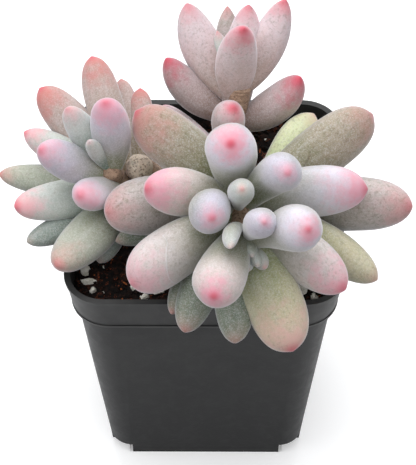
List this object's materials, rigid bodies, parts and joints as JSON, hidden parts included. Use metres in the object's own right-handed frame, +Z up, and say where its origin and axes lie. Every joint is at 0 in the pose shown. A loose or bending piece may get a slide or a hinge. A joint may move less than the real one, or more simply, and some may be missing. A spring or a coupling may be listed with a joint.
{
  "type": "potted baby finger pachyphytum",
  "caption": "Small potted succulent with plump finger leaves in three rosettes, standing in a square tapered nursery pot of dark soil.",
  "frame": {"origin": "middle of the flat foot that the pot stands on", "axes": "+Z up, -Y to the front, where the rosettes lean, +X to the right seen from the front"},
  "size_m": [0.0951, 0.0903, 0.1071],
  "materials": {
    "pot_plastic": "satin, faintly scuffed",
    "soil": "loose, dark and damp",
    "leaf": "matte with a powdery bloom, blushed at the tips",
    "perlite": "chalky",
    "bark": "rough"
  },
  "bodies": {
    "root": {"pot": "pot_plastic", "soil": "soil", "front_crown": "leaf", "left_crown": "leaf", "back_crown": "leaf", "perlite_1": "perlite", "perlite_2": "perlite", "perlite_3": "perlite", "perlite_4": "perlite", "perlite_5": "perlite", "perlite_6": "perlite", "perlite_7": "perlite", "perlite_8": "perlite", "perlite_9": "perlite", "perlite_10": "perlite", "perlite_11": "perlite", "perlite_12": "perlite", "bark_1": "bark", "bark_2": "bark", "bark_3": "bark", "bark_4": "bark"}
  },
  "joints": []
}
